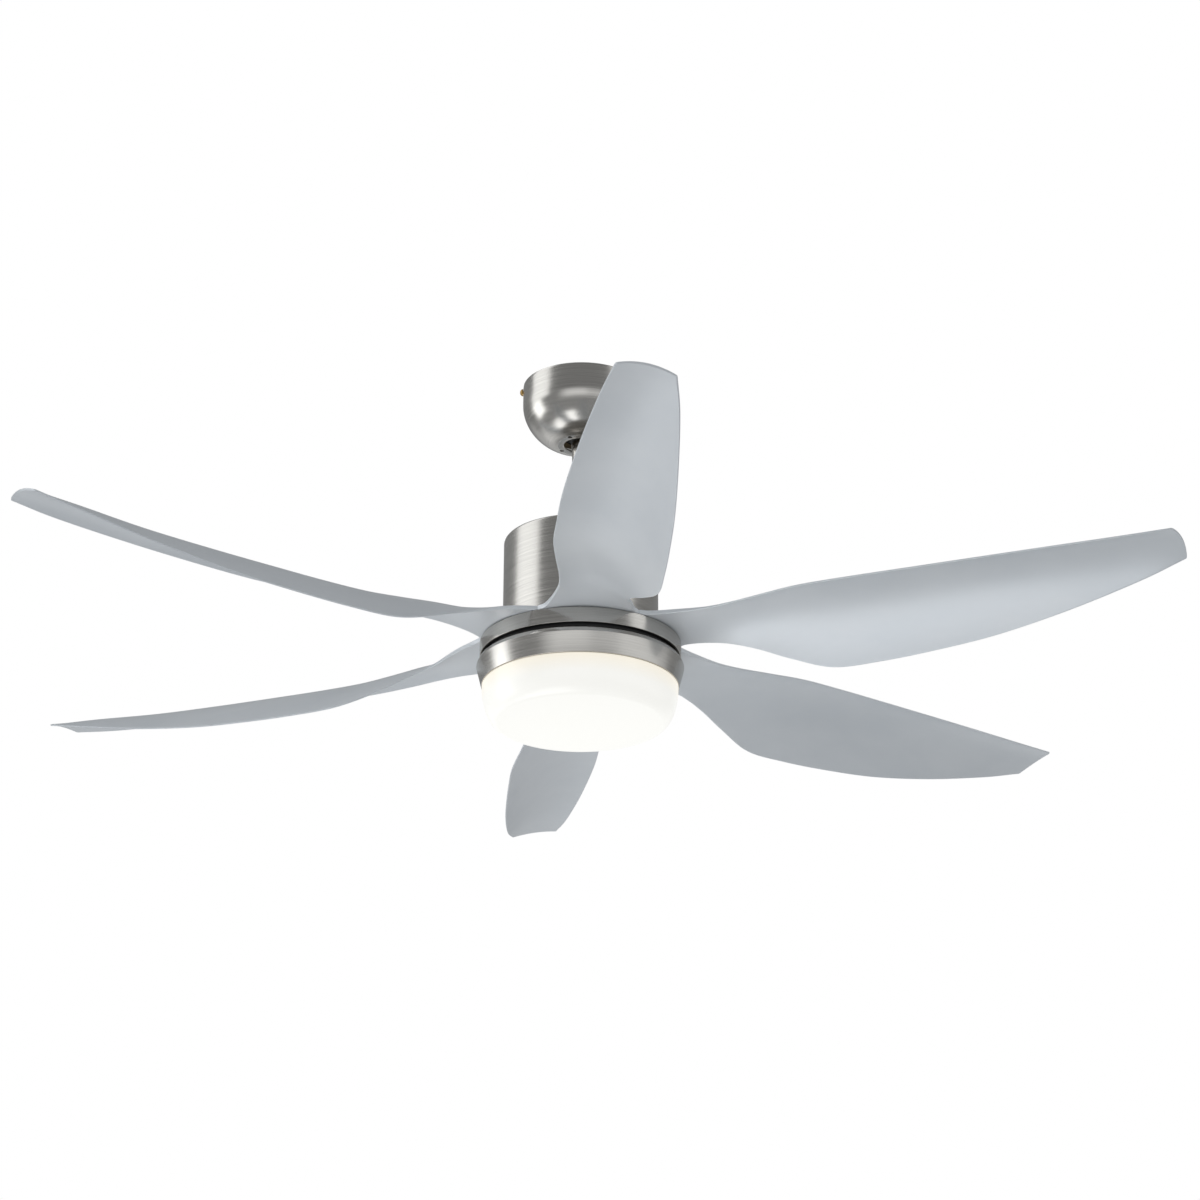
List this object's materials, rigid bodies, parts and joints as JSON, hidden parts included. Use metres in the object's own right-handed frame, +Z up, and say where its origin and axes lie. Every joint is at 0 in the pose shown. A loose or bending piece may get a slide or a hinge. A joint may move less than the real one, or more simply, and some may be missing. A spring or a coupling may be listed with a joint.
{
  "type": "ceiling fan with light",
  "caption": "Ceiling fan with broad swept blades on a short downrod, a domed canopy over a ball hanger, and a drum light below the turning hub.",
  "frame": {"origin": "centre of the hanger bracket's top face, in the ceiling plane", "axes": "+Z up, out of the bracket's top face into the ceiling; the fan hangs towards -Z and its rotor turns about Z; +X runs along the bracket, through its two slotted screw holes"},
  "size_m": [1.5448, 1.6776, 0.5092],
  "materials": {
    "bracket_zinc": "yellow zinc plate, satin",
    "nickel": "brushed nickel plate",
    "brass_screw": "satin",
    "black_plastic": "moulded black",
    "rubber": "moulded liner",
    "white_plastic": "moulded white",
    "steel": "machined, bright",
    "cast_coupling": "cast, fine grit",
    "circuit_board": "green board with moulded components",
    "laminations": "stacked electrical steel",
    "copper_winding": "enamelled copper wire",
    "rotor_aluminium": "die cast, satin",
    "ferrite": "sintered, matt",
    "blade_plastic": "moulded blade, satin silver paint",
    "opal_glass": "opal, satin, lit from inside",
    "lead_sleeve": "sleeved wires"
  },
  "bodies": {
    "ceiling_mount": {"ceiling_bracket": "bracket_zinc", "canopy": "nickel", "canopy_screw_left": "brass_screw", "canopy_screw_right": "brass_screw", "receiver_box": "black_plastic", "terminal_block": "white_plastic"},
    "ball_liner": {"ball_seat": "rubber"},
    "hung_fan": {"hanger_ball": "black_plastic", "ball_pin": "steel", "downrod": "nickel", "coupling_yoke": "cast_coupling", "hitch_pin": "steel", "rod_set_screw": "steel", "coupling_cover": "nickel", "motor_housing": "nickel", "housing_screw_1": "steel", "housing_screw_2": "steel", "housing_screw_3": "steel", "motor_shaft": "steel", "motor_controller": "circuit_board", "stator_core": "laminations", "stator_winding_upper": "copper_winding", "stator_winding_lower": "copper_winding", "light_bracket": "bracket_zinc", "shaft_nut": "steel", "pan_floor": "bracket_zinc", "light_pan": "nickel", "gap_shroud": "black_plastic", "pan_screw_1": "steel", "pan_screw_2": "steel", "pan_screw_3": "steel", "led_driver": "white_plastic", "led_plate": "rotor_aluminium", "lead_bundle": "lead_sleeve"},
    "rotor": {"rotor_can": "rotor_aluminium", "rotor_base": "rotor_aluminium", "magnet_ring": "ferrite", "upper_bearing": "steel", "lower_bearing": "steel", "trim_ring": "nickel", "blade_1": "blade_plastic", "blade_2": "blade_plastic", "blade_3": "blade_plastic", "blade_4": "blade_plastic", "blade_5": "blade_plastic", "blade_6": "blade_plastic", "blade_screw_inner_1": "steel", "blade_screw_inner_2": "steel", "blade_screw_inner_3": "steel", "blade_screw_inner_4": "steel", "blade_screw_inner_5": "steel", "blade_screw_inner_6": "steel", "blade_screw_outer_1": "steel", "blade_screw_outer_2": "steel", "blade_screw_outer_3": "steel", "blade_screw_outer_4": "steel", "blade_screw_outer_5": "steel", "blade_screw_outer_6": "steel"},
    "shade": {"glass_shade": "opal_glass", "shade_collar": "white_plastic"}
  },
  "joints": [
    {"name": "hanger_tilt_x", "type": "hinge", "parent": "ceiling_mount", "child": "ball_liner", "pos_m": [0, 0, -0.06], "axis": [1, 0, 0], "range_deg": [-12, 12]},
    {"name": "hanger_tilt_y", "type": "hinge", "parent": "ball_liner", "child": "hung_fan", "pos_m": [0, 0, -0.06], "axis": [0, 1, 0], "range_deg": [-12, 12]},
    {"name": "rotor_spin", "type": "hinge", "parent": "hung_fan", "child": "rotor", "pos_m": [0, 0, -0.385], "axis": [0, 0, 1], "continuous": true},
    {"name": "shade_twist", "type": "hinge", "parent": "hung_fan", "child": "shade", "pos_m": [0, 0, -0.45], "axis": [0, 0, 1], "range_deg": [0, 22]}
  ]
}
